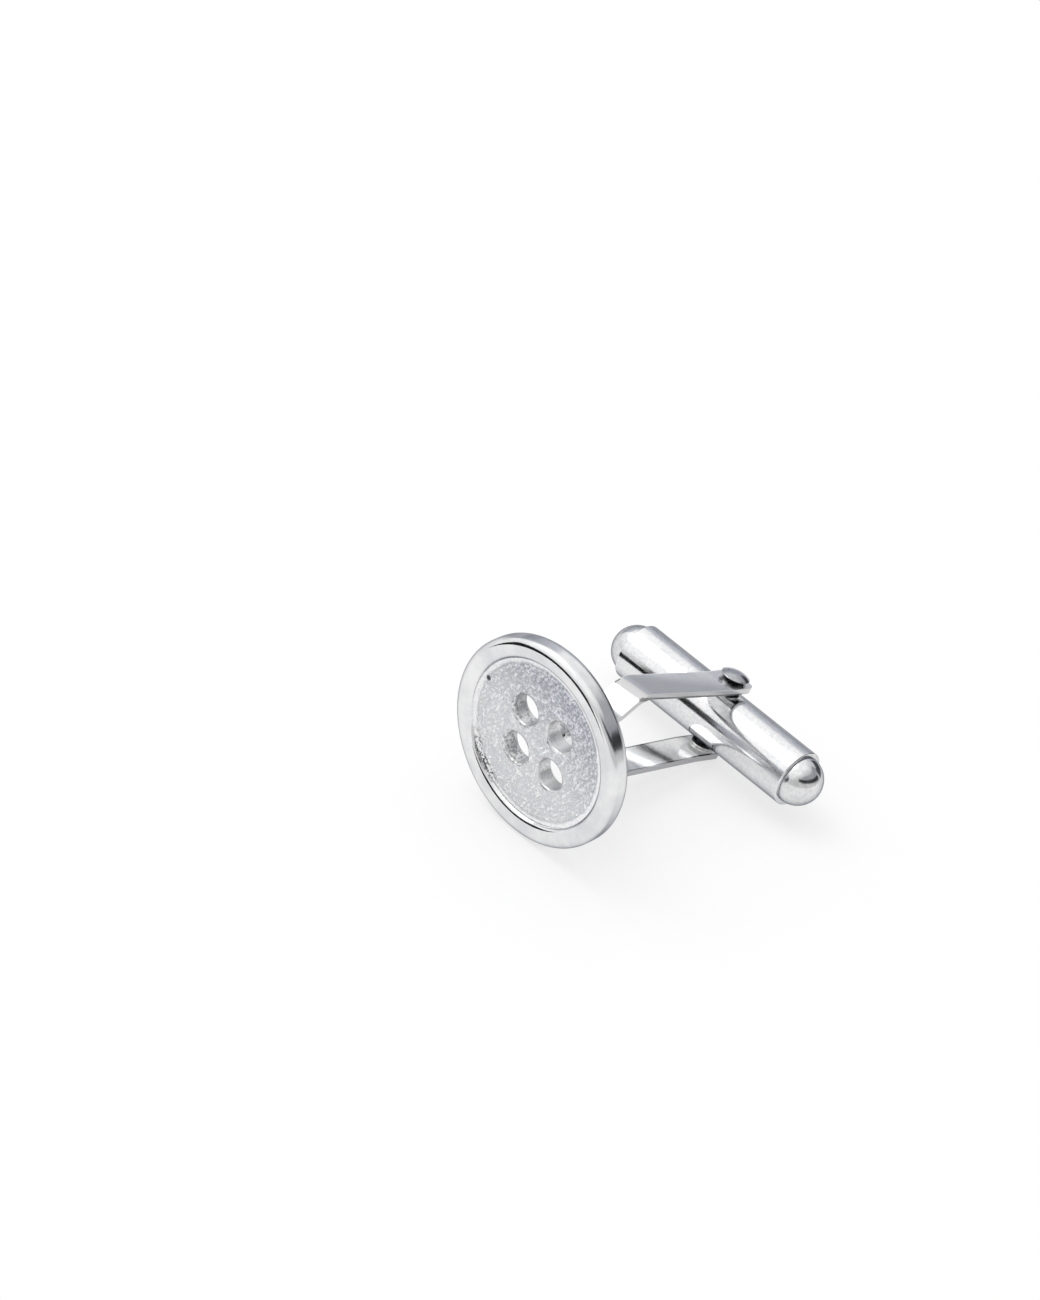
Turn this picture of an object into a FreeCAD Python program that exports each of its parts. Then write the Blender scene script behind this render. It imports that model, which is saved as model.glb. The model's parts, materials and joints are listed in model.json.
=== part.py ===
"""Sewing-button cufflink with a leaning two-arm post and a swivelling bar toggle.

Millimetres. The link is modelled as it lies on a table: the button stands on its rim with its face
towards -Y, the toggle lies across the back along X, and the rivet's tail touches the table at z = 0.
The button has a frame of its own: x across, y from the rim's crest to the back, z up the face.
The post, its arms and the toggle share a frame that leans against the button's axis:
x along the toggle, y along the post from the button's back, z along the rivet.
"""
import FreeCAD, Part
import math
import os
import Sketcher

SIZES = {
    # Button
    "button_diameter": 15.0,
    "button_thickness": 1.75,
    "rim_width": 1.35,
    "rim_fall": 0.04,
    "rim_outer_round": 0.43,
    "rim_inner_round": 0.1,
    "lip_slope": 70.0,
    "rim_back_round": 0.65,
    "cove_round": 0.46,
    "hole_diameter": 2.2,
    "hole_spacing": 3.28,
    "hole_chamfer": 0.25,
    # Post: a foot on the button's back that carries the two arms
    "post_lean": 17.1,
    "post_length": 18.6,
    "flange_diameter": 2.1,
    "flange_thickness": 0.4,
    "neck_diameter": 1.8,
    "block_start": 1.6,
    "block_length": 3.45,
    "block_width": 2.2,
    "block_height": 2.84,
    "block_round": 0.3,
    # Arms: bent strips lapped on the foot's block
    "arm_width": 2.45,
    "arm_thickness": 0.43,
    "arm_lap_margin": 0.3,
    "shoulder_spread": 7.08,
    "shoulder_distance": 6.85,
    "bend_round": 0.7,
    "shoulder_round": 2.0,
    "eye_flat": 1.7,
    "tip_reach": 1.1,
    "tip_round": 0.7,
    # Toggle
    "tube_diameter": 4.26,
    "tube_bore": 3.5,
    "tube_length": 16.0,
    "tube_lip_round": 0.16,
    "ball_diameter": 3.65,
    "spigot_length": 1.2,
    "spring_thickness": 0.2,
    "spring_width": 1.6,
    # Rivet and washers
    "rivet_diameter": 1.2,
    "rivet_head_diameter": 2.1,
    "rivet_head_height": 0.62,
    "rivet_head_lift": 0.28,
    "rivet_seat_diameter": 1.4,
    "rivet_tail_diameter": 1.9,
    "rivet_tail_height": 0.28,
    "washer_diameter": 1.7,
    "washer_thickness": 0.35,
    # Clearances: moving faces, and fixed pieces slipped together
    "running_clearance": 0.03,
    "fixed_clearance": 0.02,
}

doc = FreeCAD.newDocument("cufflink")
sheet = doc.addObject("Spreadsheet::Sheet", "sizes")
X_AXIS = FreeCAD.Vector(1, 0, 0)


class Size:
    """A number together with the sheet expression that gives it."""

    def __init__(self, value, text):
        self.value = value
        self.text = text

    def _join(self, other, sign, value):
        other_text = other.text if isinstance(other, Size) else repr(float(other))
        return Size(value, "(%s %s %s)" % (self.text, sign, other_text))

    def __add__(self, other):
        return self._join(other, "+", self.value + number(other))

    def __sub__(self, other):
        return self._join(other, "-", self.value - number(other))

    def __mul__(self, other):
        return self._join(other, "*", self.value * number(other))

    def __truediv__(self, other):
        return self._join(other, "/", self.value / number(other))

    def root(self):
        return Size(math.sqrt(self.value), "sqrt(%s)" % self.text)


def number(size):
    return size.value if isinstance(size, Size) else float(size)


def add_cell(name, value):
    """Writes one number into the next row of the sheet under its name."""
    add_cell.row += 1
    cell = "B%d" % add_cell.row
    sheet.set("A%d" % add_cell.row, name)
    sheet.set(cell, repr(round(value, 9)))
    sheet.setAlias(cell, name)
    return Size(value, "sizes." + name)


add_cell.row = 0
size = {name: add_cell(name, value) for name, value in SIZES.items()}
ZERO = Size(0.0, "0")

# Radii and distances that several pieces share
button_radius = size["button_diameter"] / 2
tube_radius = size["tube_diameter"] / 2
bore_radius = size["tube_bore"] / 2
rivet_radius = size["rivet_diameter"] / 2
half_tube = size["tube_length"] / 2
washer_inner = tube_radius + size["running_clearance"]
arm_inner = washer_inner + size["washer_thickness"]
arm_outer = arm_inner + size["arm_thickness"]
block_end = size["block_start"] + size["block_length"]
pinned_hole = size["rivet_diameter"] + size["fixed_clearance"] * 2


def sphere_radius(base_radius, height):
    """Radius of the ball whose cap has this base and height."""
    return (base_radius * base_radius + height * height) / (height * 2)


tail_ball = sphere_radius(size["rivet_tail_diameter"] / 2, size["rivet_tail_height"])


def lie_on_table():
    """How far the link tips, and where the middle of the button's back is, with rim and rivet tail on z = 0."""
    rim = SIZES["rim_outer_round"]
    rim_centre = button_radius.value - rim
    rim_ahead = SIZES["button_thickness"] - rim
    tail_centre = arm_outer.value + SIZES["rivet_tail_height"] - tail_ball.value
    lean = math.radians(SIZES["post_lean"])

    def back_height(tip):
        return rim + rim_centre * math.cos(tip) + rim_ahead * math.sin(tip)

    def tail_height(tip):
        slope = lean - tip
        drop = SIZES["post_length"] * math.sin(slope) + tail_centre * math.cos(slope)
        return back_height(tip) - drop - tail_ball.value

    low, high = -lean, lean
    while high - low > 1e-9:
        tip = (low + high) / 2
        if tail_height(tip) < 0:
            low = tip
        else:
            high = tip
    ahead = rim + rim_ahead * math.cos(tip) + rim_centre * math.sin(tip)
    behind = SIZES["post_length"] * math.cos(lean - tip) + tube_radius.value
    return math.degrees(tip), (ahead - behind) / 2, back_height(tip)


rest_tip, back_y, back_z = lie_on_table()
tip_angle = add_cell("rest_tip", rest_tip)
back_depth = add_cell("back_depth", back_y)
back_height = add_cell("back_height", back_z)
post_slope = size["post_lean"] - tip_angle
doc.recompute()


def place(piece, along_post=None, ahead_of_back=None):
    """Puts a piece in the button's frame, or in the post's frame at a distance along the post."""
    in_button = ahead_of_back is not None
    angle = tip_angle if in_button else ZERO - post_slope
    run = ZERO - ahead_of_back if in_button else along_post or ZERO
    piece.Placement = FreeCAD.Placement(FreeCAD.Vector(), FreeCAD.Rotation(X_AXIS, number(angle)))
    turn = "%s * 1deg" % angle.text
    piece.setExpression("Placement.Rotation.Angle", angle.text)
    piece.setExpression("Placement.Base.y", "%s + %s * cos(%s)" % (back_depth.text, run.text, turn))
    piece.setExpression("Placement.Base.z", "%s + %s * sin(%s)" % (back_height.text, run.text, turn))


def new_body(label):
    body = doc.addObject("PartDesign::Body", label)
    body.Label = label
    return body


def new_sketch(body, name, plane):
    sketch = body.newObject("Sketcher::SketchObject", name)
    support = [item for item in body.Origin.OriginFeatures if item.Role == plane][0]
    sketch.AttachmentSupport = [(support, "")]
    sketch.MapMode = "FlatFace"
    return sketch


def constrain(sketch, kind, *target):
    """Adds a constraint; a Size as its last item is bound to the sheet."""
    last = target[-1]
    if not isinstance(last, Size):
        return sketch.addConstraint(Sketcher.Constraint(kind, *target))
    index = sketch.addConstraint(Sketcher.Constraint(kind, *target[:-1], last.value))
    sketch.setExpression("Constraints[%d]" % index, last.text)
    return index


def pin_point(sketch, edge, end, point):
    """Holds one end of an edge at a point measured from the sketch's origin."""
    constrain(sketch, "DistanceX", -1, 1, edge, end, point[0])
    constrain(sketch, "DistanceY", -1, 1, edge, end, point[1])


def vector(point):
    return FreeCAD.Vector(number(point[0]), number(point[1]), 0)


def outline(sketch, corners):
    """Draws a closed outline. A corner is (x, y), or (x, y, radius, side) where an arc leaves it:
    side +1 puts the arc's centre to the left of its chord, -1 to the right."""
    edges = []
    ends = []
    for corner, following in zip(corners, corners[1:] + corners[:1]):
        start, finish = vector(corner), vector(following)
        if len(corner) == 2:
            edges.append(sketch.addGeometry(Part.LineSegment(start, finish), False))
            ends.append((1, 2))
            continue
        radius, side = corner[2], corner[3]
        chord = finish - start
        left = FreeCAD.Vector(-chord.y, chord.x, 0).normalize() * side
        reach = math.sqrt(max(radius.value ** 2 - (chord.Length / 2) ** 2, 0.0))
        centre = (start + finish) / 2 + left * reach
        middle = centre - left * radius.value
        edges.append(sketch.addGeometry(Part.Arc(start, middle, finish), False))
        ends.append((1, 2) if side > 0 else (2, 1))
        constrain(sketch, "Radius", edges[-1], radius)
    for index, edge in enumerate(edges):
        previous = index - 1
        constrain(sketch, "Coincident", edges[previous], ends[previous][1], edge, ends[index][0])
        pin_point(sketch, edge, ends[index][0], corners[index])
    return edges


def circle(sketch, x, y, diameter):
    edge = sketch.addGeometry(Part.Circle(vector((x, y)), FreeCAD.Vector(0, 0, 1), diameter.value / 2), False)
    constrain(sketch, "Diameter", edge, diameter)
    pin_point(sketch, edge, 3, (x, y))


def revolve(body, sketch, axis):
    feature = body.newObject("PartDesign::Revolution", sketch.Name + "_turned")
    feature.Profile = sketch
    feature.ReferenceAxis = (sketch, [axis])
    feature.Angle = 360
    doc.recompute()
    return feature


def pad_both_ways(body, sketch, length):
    feature = body.newObject("PartDesign::Pad", sketch.Name + "_pad")
    feature.Profile = sketch
    feature.SideType = "Symmetric"
    feature.setExpression("Length", length.text)
    doc.recompute()
    return feature


def cut_both_ways(body, sketch):
    """Cuts the sketch through everything on both sides of its plane."""
    before = body.Shape.Volume
    feature = body.newObject("PartDesign::Pocket", sketch.Name + "_cut")
    feature.Profile = sketch
    feature.SideType = "Symmetric"
    feature.Type = "ThroughAll"
    doc.recompute()
    if body.Shape.Volume >= before:
        raise RuntimeError(sketch.Name + " cuts nothing")
    return feature


def finish_edges(body, name, kind, measure, amount, chosen):
    """Adds a round or a chamfer on the edges of the body's last feature for which chosen(edge) is true."""
    base = body.Tip
    names = ["Edge%d" % (i + 1) for i, edge in enumerate(base.Shape.Edges) if chosen(edge)]
    if not names:
        raise RuntimeError(name + " finds no edge")
    feature = body.newObject("PartDesign::" + kind, name)
    feature.Base = (base, names)
    feature.setExpression(measure, amount.text)
    doc.recompute()
    return feature


def round_edges(body, name, radius, chosen):
    return finish_edges(body, name, "Fillet", "Radius", radius, chosen)


def chamfer_edges(body, name, width, chosen):
    return finish_edges(body, name, "Chamfer", "Size", width, chosen)


def near(first, second):
    return abs(first - number(second)) < 1e-4


def is_circle(edge, radius):
    return isinstance(edge.Curve, Part.Circle) and near(edge.Curve.Radius, radius)


def make_button():
    """Turned button: a rim that falls inwards from its crest, a cove to the sunk floor, four thread holes."""
    body = new_body("button_face")
    thick = size["button_thickness"]
    outer, inner, back = size["rim_outer_round"], size["rim_inner_round"], size["rim_back_round"]
    cove = size["cove_round"]

    # The lip's round runs into the cove where both lie at the lip's slope
    slope = size["lip_slope"]
    slope_sine = Size(math.sin(math.radians(slope.value)), "sin(%s * 1deg)" % slope.text)
    slope_cosine = Size(math.cos(math.radians(slope.value)), "cos(%s * 1deg)" % slope.text)
    inner_centre = button_radius - size["rim_width"]
    lip_level = size["rim_fall"] + inner
    floor_edge = inner_centre - (inner + cove) * slope_sine
    depth = lip_level + cove - (inner + cove) * slope_cosine

    # The rim's face is the straight line that touches its outer and its inner round
    outer_centre = button_radius - outer
    run = outer_centre - inner_centre
    rise = outer - lip_level
    growth = outer - inner
    span_squared = run * run + rise * rise
    straight = (span_squared - growth * growth).root()
    face_sine = (growth * run - straight * rise) / span_squared
    face_cosine = (growth * rise + straight * run) / span_squared

    profile = new_sketch(body, "button_profile", "XY_Plane")
    outline(profile, [
        (ZERO, depth),
        (floor_edge, depth, cove, -1),
        (inner_centre - inner * slope_sine, lip_level - inner * slope_cosine, inner, 1),
        (inner_centre - inner * face_sine, lip_level - inner * face_cosine),
        (outer_centre - outer * face_sine, outer - outer * face_cosine, outer, 1),
        (button_radius, outer),
        (button_radius, thick - back, back, 1),
        (button_radius - back, thick),
        (ZERO, thick),
    ])
    revolve(body, profile, "V_Axis")
    holes = new_sketch(body, "thread_holes", "XZ_Plane")
    across = size["hole_spacing"] / 2
    for x_side in (1, -1):
        for z_side in (1, -1):
            circle(holes, across * x_side, across * z_side, size["hole_diameter"])
    cut_both_ways(body, holes)
    hole_radius = size["hole_diameter"] / 2
    chamfer_edges(body, "hole_mouths", size["hole_chamfer"],
                  lambda edge: is_circle(edge, hole_radius) and near(edge.CenterOfMass.y, depth))
    place(body, ahead_of_back=thick)
    return body


def make_foot():
    """Foot on the button's back: a round flange square to the button, and a leaning neck with a block."""
    flange = doc.addObject("Part::Cylinder", "foot_flange")
    flange.setExpression("Radius", (size["flange_diameter"] / 2).text)
    flange.setExpression("Height", size["flange_thickness"].text)
    flange.Placement.Rotation = FreeCAD.Rotation(X_AXIS, -90)
    flange.setExpression("Placement.Rotation.Angle", (tip_angle - 90).text)
    flange.Placement.Rotation.Axis = X_AXIS
    flange.setExpression("Placement.Base.y", back_depth.text)
    flange.setExpression("Placement.Base.z", back_height.text)

    neck = doc.addObject("Part::Cylinder", "foot_neck")
    neck_sunk = size["flange_thickness"] / 2
    neck.setExpression("Radius", (size["neck_diameter"] / 2).text)
    neck.setExpression("Height", (size["block_start"] - neck_sunk + size["block_round"]).text)
    neck_turn = ZERO - post_slope - 90
    neck.Placement.Rotation = FreeCAD.Rotation(X_AXIS, -90)
    neck.setExpression("Placement.Rotation.Angle", neck_turn.text)
    slope = "%s * 1deg" % post_slope.text
    neck.setExpression("Placement.Base.y", "%s + %s * cos(%s)" % (back_depth.text, neck_sunk.text, slope))
    neck.setExpression("Placement.Base.z", "%s - %s * sin(%s)" % (back_height.text, neck_sunk.text, slope))

    block = new_body("foot_block")
    section = new_sketch(block, "block_side", "YZ_Plane")
    half = size["block_height"] / 2
    outline(section, [
        (size["block_start"], ZERO - half),
        (block_end, ZERO - half),
        (block_end, half),
        (size["block_start"], half),
    ])
    pad_both_ways(block, section, size["block_width"])
    round_edges(block, "block_neck_edges", size["block_round"],
                lambda edge: near(edge.BoundBox.YMin, size["block_start"])
                and near(edge.BoundBox.YMax, size["block_start"]))
    place(block)

    foot = doc.addObject("Part::MultiFuse", "foot")
    foot.Shapes = [flange, neck, block]
    foot.Label = "foot"
    return foot


def make_arm(label, side):
    """Bent strip: it laps the foot's block, flares to the shoulder, then closes in to a flat eye."""
    body = new_body(label)
    lap_start = size["block_start"] + size["arm_lap_margin"]
    lap_outer = size["block_height"] / 2 + size["arm_thickness"]
    eye_start = size["post_length"] - size["eye_flat"]
    tip = size["post_length"] + size["tip_reach"]
    outer = [
        (lap_start, lap_outer * side),
        (block_end, lap_outer * side),
        (size["shoulder_distance"], size["shoulder_spread"] / 2 * side),
        (eye_start, arm_outer * side),
        (tip, arm_outer * side),
    ]
    outer_points = [vector(point) for point in outer]
    inner_points = inset(outer_points, SIZES["arm_thickness"], side)
    sketch = new_sketch(body, label + "_side", "YZ_Plane")
    outer_edges = [sketch.addGeometry(Part.LineSegment(*pair), False)
                   for pair in zip(outer_points, outer_points[1:])]
    inner_edges = [sketch.addGeometry(Part.LineSegment(*pair), False)
                   for pair in zip(inner_points, inner_points[1:])]
    root_end = sketch.addGeometry(Part.LineSegment(inner_points[0], outer_points[0]), False)
    tip_end = sketch.addGeometry(Part.LineSegment(outer_points[-1], inner_points[-1]), False)
    for edges in (outer_edges, inner_edges):
        for first, second in zip(edges, edges[1:]):
            constrain(sketch, "Coincident", first, 2, second, 1)
    constrain(sketch, "Coincident", root_end, 2, outer_edges[0], 1)
    constrain(sketch, "Coincident", root_end, 1, inner_edges[0], 1)
    constrain(sketch, "Coincident", tip_end, 1, outer_edges[-1], 2)
    constrain(sketch, "Coincident", tip_end, 2, inner_edges[-1], 2)
    for edge, point in zip(outer_edges, outer):
        pin_point(sketch, edge, 1, point)
    pin_point(sketch, outer_edges[-1], 2, outer[-1])
    for outer_edge, inner_edge in zip(outer_edges, inner_edges):
        constrain(sketch, "Parallel", outer_edge, inner_edge)
        constrain(sketch, "Distance", inner_edge, 1, outer_edge, size["arm_thickness"])
    constrain(sketch, "Vertical", root_end)
    constrain(sketch, "Vertical", tip_end)
    pad_both_ways(body, sketch, size["arm_width"])

    # Each bend keeps the strip's thickness: one face takes the bend's radius, the other that plus the strip
    root, shoulder, strip = size["bend_round"], size["shoulder_round"], size["arm_thickness"]
    bends = (("root_in", root, outer_points[1]), ("root_out", root + strip, inner_points[1]),
             ("shoulder_in", shoulder, inner_points[2]), ("shoulder_out", shoulder + strip, outer_points[2]))
    for name, radius, corner in bends:
        round_edges(body, "%s_%s" % (label, name), radius,
                    lambda edge: near(edge.CenterOfMass.y, corner.x) and near(edge.CenterOfMass.z, corner.y))
    round_edges(body, label + "_tip", size["tip_round"],
                lambda edge: near(edge.BoundBox.YMin, tip) and near(edge.BoundBox.XMin, edge.BoundBox.XMax))
    hole = new_sketch(body, label + "_eye", "XY_Plane")
    circle(hole, ZERO, size["post_length"], pinned_hole)
    cut_both_ways(body, hole)
    place(body)
    return body


def inset(points, distance, side):
    """The corners of a line of points moved sideways, towards the post's axis, by one strip thickness."""
    normals = []
    for first, second in zip(points, points[1:]):
        along = (second - first).normalize()
        normals.append(FreeCAD.Vector(along.y, -along.x, 0) * side)
    moved = [points[0] + normals[0] * distance]
    for point, before, after in zip(points[1:-1], normals, normals[1:]):
        moved.append(point + (before + after) * (distance / (1 + before.dot(after))))
    moved.append(points[-1] + normals[-1] * distance)
    return moved


def make_rivet():
    """Rivet through both eyes: a low domed head lifted on a small conical seat, and a peened tail below."""
    body = new_body("pivot_rivet")
    head = size["rivet_head_diameter"] / 2
    tail = size["rivet_tail_diameter"] / 2
    seat = size["rivet_seat_diameter"] / 2
    dome_height = size["rivet_head_height"] - size["rivet_head_lift"]
    low_face = ZERO - arm_outer
    profile = new_sketch(body, "rivet_profile", "XZ_Plane")
    outline(profile, [
        (ZERO, low_face - size["rivet_tail_height"], tail_ball, 1),
        (tail, low_face),
        (rivet_radius, low_face),
        (rivet_radius, arm_outer),
        (seat, arm_outer),
        (head, arm_outer + size["rivet_head_lift"], sphere_radius(head, dome_height), 1),
        (ZERO, arm_outer + size["rivet_head_height"]),
    ])
    revolve(body, profile, "V_Axis")
    place(body, along_post=size["post_length"])
    return body


def make_washer(label, side):
    """Flat washer on the rivet between an arm and the toggle."""
    body = new_body(label)
    hole = pinned_hole / 2
    rim = size["washer_diameter"] / 2
    profile = new_sketch(body, label + "_profile", "XZ_Plane")
    outline(profile, [
        (hole, washer_inner * side),
        (rim, washer_inner * side),
        (rim, arm_inner * side),
        (hole, arm_inner * side),
    ])
    revolve(body, profile, "V_Axis")
    place(body, along_post=size["post_length"])
    return body


def make_tube():
    """Toggle tube with rounded lips and a running hole across its middle for the rivet."""
    body = new_body("toggle_tube")
    profile = new_sketch(body, "tube_wall", "XY_Plane")
    outline(profile, [
        (ZERO - half_tube, bore_radius),
        (half_tube, bore_radius),
        (half_tube, tube_radius),
        (ZERO - half_tube, tube_radius),
    ])
    revolve(body, profile, "H_Axis")
    round_edges(body, "tube_lips", size["tube_lip_round"], lambda edge: is_circle(edge, tube_radius))
    hole = new_sketch(body, "rivet_hole", "XY_Plane")
    circle(hole, ZERO, ZERO, size["rivet_diameter"] + size["running_clearance"] * 2)
    cut_both_ways(body, hole)
    place(body, along_post=size["post_length"])
    return body


def make_ball_end(label, side):
    """Half ball that closes one end of the tube, with a spigot inside the bore."""
    body = new_body(label)
    ball = size["ball_diameter"] / 2
    spigot = bore_radius - size["fixed_clearance"]
    profile = new_sketch(body, label + "_profile", "XY_Plane")
    outline(profile, [
        ((half_tube - size["spigot_length"]) * side, ZERO),
        ((half_tube - size["spigot_length"]) * side, spigot),
        (half_tube * side, spigot),
        (half_tube * side, ball, ball, -side),
        ((half_tube + ball) * side, ZERO),
    ])
    revolve(body, profile, "H_Axis")
    place(body, along_post=size["post_length"])
    return body


def make_leaf_spring(label, side):
    """Bowed leaf inside the tube: its middle rubs on the rivet, its ends bear on the bore."""
    body = new_body(label)
    half_width = size["spring_width"] / 2
    half_length = half_tube - size["spigot_length"] - size["fixed_clearance"]
    seat_radius = bore_radius - size["fixed_clearance"]
    end_out = (seat_radius * seat_radius - half_width * half_width).root()
    end_in = end_out - size["spring_thickness"]
    middle_in = rivet_radius + size["running_clearance"]
    bow = sphere_radius(half_length, end_in - middle_in)
    profile = new_sketch(body, label + "_bow", "XY_Plane")
    outline(profile, [
        (ZERO - half_length, end_in * side, bow, side),
        (half_length, end_in * side),
        (half_length, end_out * side, bow, -side),
        (ZERO - half_length, end_out * side),
    ])
    pad_both_ways(body, profile, size["spring_width"])
    place(body, along_post=size["post_length"])
    return body


pieces = [
    make_button(),
    make_foot(),
    make_arm("upper_arm", 1),
    make_arm("lower_arm", -1),
    make_rivet(),
    make_washer("upper_washer", 1),
    make_washer("lower_washer", -1),
    make_tube(),
    make_ball_end("right_ball_end", 1),
    make_ball_end("left_ball_end", -1),
    make_leaf_spring("rear_leaf_spring", 1),
    make_leaf_spring("front_leaf_spring", -1),
]
doc.recompute()

failed = [item.Name for item in doc.Objects if "Invalid" in item.State or "Error" in item.State]
if failed:
    raise RuntimeError("failed objects: " + ", ".join(failed))
for piece in pieces:
    if piece.Shape.isNull() or not piece.Shape.isValid() or len(piece.Shape.Solids) != 1:
        raise RuntimeError(piece.Label + " is not one valid solid")

os.makedirs("parts", exist_ok=True)
for piece in pieces:
    piece.Shape.exportStep("parts/%s.step" % piece.Label)
    box = piece.Shape.optimalBoundingBox()
    print("%-18s %9.3f mm3  x %.3f..%.3f  y %.3f..%.3f  z %.3f..%.3f" % (
        piece.Label, piece.Shape.Volume, box.XMin, box.XMax, box.YMin, box.YMax, box.ZMin, box.ZMax))
print("rest tip %.4f deg, back centre y %.4f z %.4f" % (rest_tip, back_y, back_z))
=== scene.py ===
import json
import math

import bpy
from mathutils import Matrix, Vector


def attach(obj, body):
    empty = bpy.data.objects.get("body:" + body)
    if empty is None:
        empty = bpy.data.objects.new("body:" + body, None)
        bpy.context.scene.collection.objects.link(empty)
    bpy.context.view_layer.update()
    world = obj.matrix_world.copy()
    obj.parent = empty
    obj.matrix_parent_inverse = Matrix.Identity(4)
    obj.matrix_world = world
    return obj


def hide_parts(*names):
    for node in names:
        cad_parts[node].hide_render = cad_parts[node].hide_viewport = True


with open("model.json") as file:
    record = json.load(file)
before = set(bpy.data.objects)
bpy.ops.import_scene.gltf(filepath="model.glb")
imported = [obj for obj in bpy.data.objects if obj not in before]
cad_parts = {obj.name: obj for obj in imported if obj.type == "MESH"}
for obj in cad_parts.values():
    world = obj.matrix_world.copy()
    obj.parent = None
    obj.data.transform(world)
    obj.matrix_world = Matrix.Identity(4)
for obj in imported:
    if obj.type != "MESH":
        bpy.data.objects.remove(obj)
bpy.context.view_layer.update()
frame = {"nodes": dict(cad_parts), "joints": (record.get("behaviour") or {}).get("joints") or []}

# Sizes of the button
MM = 0.001
BUTTON_RADIUS = 7.5 * MM
BUTTON_THICKNESS = 1.75 * MM
RIM_WIDTH = 1.07 * MM
RIM_FALL = 0.04 * MM
RIM_OUTER_ROUND = 0.5 * MM
RIM_INNER_ROUND = 0.38 * MM
RIM_BACK_ROUND = 0.65 * MM
COVE_ROUND = 0.2 * MM
LIP_SLOPE = 68.5
LIP_CENTRE = BUTTON_RADIUS - RIM_WIDTH
LIP_DEPTH = RIM_FALL + RIM_INNER_ROUND
FLOOR_RADIUS = LIP_CENTRE - (RIM_INNER_ROUND + COVE_ROUND) * math.sin(math.radians(LIP_SLOPE))
COVE_DEPTH = LIP_DEPTH - (RIM_INNER_ROUND + COVE_ROUND) * math.cos(math.radians(LIP_SLOPE))
RECESS_DEPTH = COVE_DEPTH + COVE_ROUND
FROST_RADIUS = 5.66 * MM
HOLE_RADIUS = 1.1 * MM
HOLE_OFFSET = 1.64 * MM
HOLE_FRONT_ROUND = 0.25 * MM
HOLE_BACK_ROUND = 0.15 * MM
HOLE_OVERCUT = 0.003 * MM
HOLE_FIELD = 4.1 * MM

# Sizes of the post and its foot
POST_LEAN = math.radians(17.1)
POST_LENGTH = 18.6 * MM
FLANGE_RADIUS = 1.05 * MM
FLANGE_THICKNESS = 0.4 * MM
FLANGE_LIFT = 0.02 * MM
FLANGE_EDGE = 0.1 * MM
FLANGE_FILLET = 0.16 * MM
FLANGE_TUCK = 0.03 * MM
FLANGE_STUB = 0.3 * MM
STUB_TAPER = 0.9
BLOCK_START = 1.6 * MM
BLOCK_LENGTH = 3.45 * MM
BLOCK_WIDTH = 2.2 * MM
BLOCK_HEIGHT = 2.84 * MM
BLOCK_ROUND = 0.26 * MM
BLOCK_EDGE = 0.07 * MM
NECK_RADIUS = 0.9 * MM
NECK_FILLET = 0.22 * MM
NECK_FLARE = 0.66
NECK_START = FLANGE_THICKNESS * 0.6
NECK_END = BLOCK_START + 0.3 * MM

# Sizes of the arms
ARM_WIDTH = 2.45 * MM
HALF_ARM = ARM_WIDTH / 2
ARM_THICKNESS = 0.43 * MM
ARM_ROOT = BLOCK_START + 0.3 * MM
ARM_LAP = BLOCK_HEIGHT / 2 + ARM_THICKNESS
SHOULDER_PLACE = 6.85 * MM
SHOULDER_REACH = 3.54 * MM
EYE_START = POST_LENGTH - 1.7 * MM
ARM_REACH = 2.94 * MM
BEND_ROUND = 0.7 * MM
SHOULDER_ROUND = 2.0 * MM
EYE_BEND_ROUND = 3.0 * MM
TIP_REACH = 1.1 * MM
TIP_ROUND = 0.7 * MM
ARM_EDGE = 0.17 * MM

# Sizes of the toggle
TUBE_RADIUS = 2.13 * MM
BORE_RADIUS = 1.75 * MM
HALF_TUBE = 8.0 * MM
TUBE_LIP = 0.1 * MM
BALL_RADIUS = 1.825 * MM
BALL_EDGE = 0.06 * MM
SPIGOT_RADIUS = 1.73 * MM
SPIGOT_LENGTH = 1.2 * MM
RIVET_HOLE_FIELD = 1.3 * MM

# Sizes of the rivet and washers
RIVET_RADIUS = 0.6 * MM
RIVET_CLEARANCE = 0.03 * MM
EYE_RADIUS = RIVET_RADIUS + 0.02 * MM
HEAD_RADIUS = 1.05 * MM
HEAD_HEIGHT = 0.62 * MM
HEAD_LIFT = 0.28 * MM
HEAD_SEAT_RADIUS = 0.7 * MM
HEAD_EDGE = 0.03 * MM
HEAD_EDGE_TOP = HEAD_EDGE * 0.7
TAIL_RADIUS = 0.95 * MM
TAIL_HEIGHT = 0.28 * MM
WASHER_RADIUS = 0.85 * MM
WASHER_THICKNESS = 0.35 * MM
WASHER_EDGE = 0.05 * MM

# Fineness of the meshes and shading
MERGE_GAP = 0.001 * MM
EASE = 0.04 * MM
FINE_STEPS = 192
ROUND_STEPS = 96
DRILL_STEPS = 48
SMOOTH_TO = 40
SMOOTH_STRAIGHTS_TO = 30

# Places, read from the toggle's swivel
swivel = frame["joints"][0]
pivot = Vector(swivel["pos_m"])
swivel_axis = Vector(swivel["axis"]).normalized()
across = Vector((1, 0, 0))
along_post = swivel_axis.cross(across)
tip = POST_LEAN - math.atan2(swivel_axis.y, swivel_axis.z)
button_axis = Vector((0, math.cos(tip), math.sin(tip)))
button_up = Vector((0, -math.sin(tip), math.cos(tip)))
back_centre = pivot - along_post * POST_LENGTH


def frame_at(origin, second, third):
    """Matrix whose axes are across, second and third, from an origin."""
    turn = Matrix((across, second, third)).transposed().to_4x4()
    return Matrix.Translation(origin) @ turn


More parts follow.
